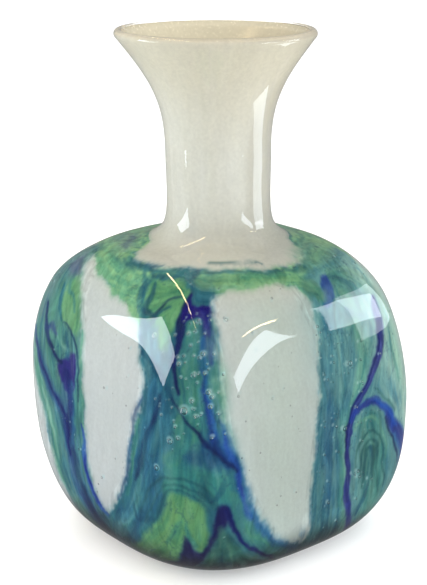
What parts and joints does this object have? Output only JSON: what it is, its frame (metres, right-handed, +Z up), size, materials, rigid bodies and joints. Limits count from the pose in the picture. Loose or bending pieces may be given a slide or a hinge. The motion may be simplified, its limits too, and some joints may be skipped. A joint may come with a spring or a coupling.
{
  "type": "vase",
  "caption": "Squared cased-glass vase with a round flared neck; holds cut flowers in water.",
  "frame": {"origin": "centre of the foot, on the surface the vase stands on", "axes": "+Z up through the neck; +X and +Y out through two neighbouring flats of the body"},
  "size_m": [0.11, 0.11, 0.1799],
  "materials": {
    "opal_glass": "opaque opal-white glass, fire polished",
    "clear_glass": "clear casing, fire polished, with seed bubbles",
    "lime_glass": "streaky yellow-green glass",
    "teal_glass": "streaky blue-green glass",
    "cobalt_glass": "deep cobalt glass trails"
  },
  "bodies": {
    "root": {"opal_core": "opal_glass", "clear_casing": "clear_glass", "shoulder_collar": "lime_glass", "foot_swirl": "teal_glass", "front_swirl": "teal_glass", "right_swirl": "teal_glass", "back_swirl": "teal_glass", "left_swirl": "teal_glass", "front_lime_tongue": "lime_glass", "left_lime_chip": "lime_glass", "front_cobalt_crest": "cobalt_glass", "front_cobalt_chevron": "cobalt_glass", "right_cobalt_crest": "cobalt_glass", "left_cobalt_trail": "cobalt_glass", "left_cobalt_hook": "cobalt_glass", "front_cobalt_trail": "cobalt_glass", "right_cobalt_trail": "cobalt_glass", "right_cobalt_arch": "cobalt_glass", "back_cobalt_trail": "cobalt_glass", "back_cobalt_arch": "cobalt_glass"}
  },
  "joints": []
}
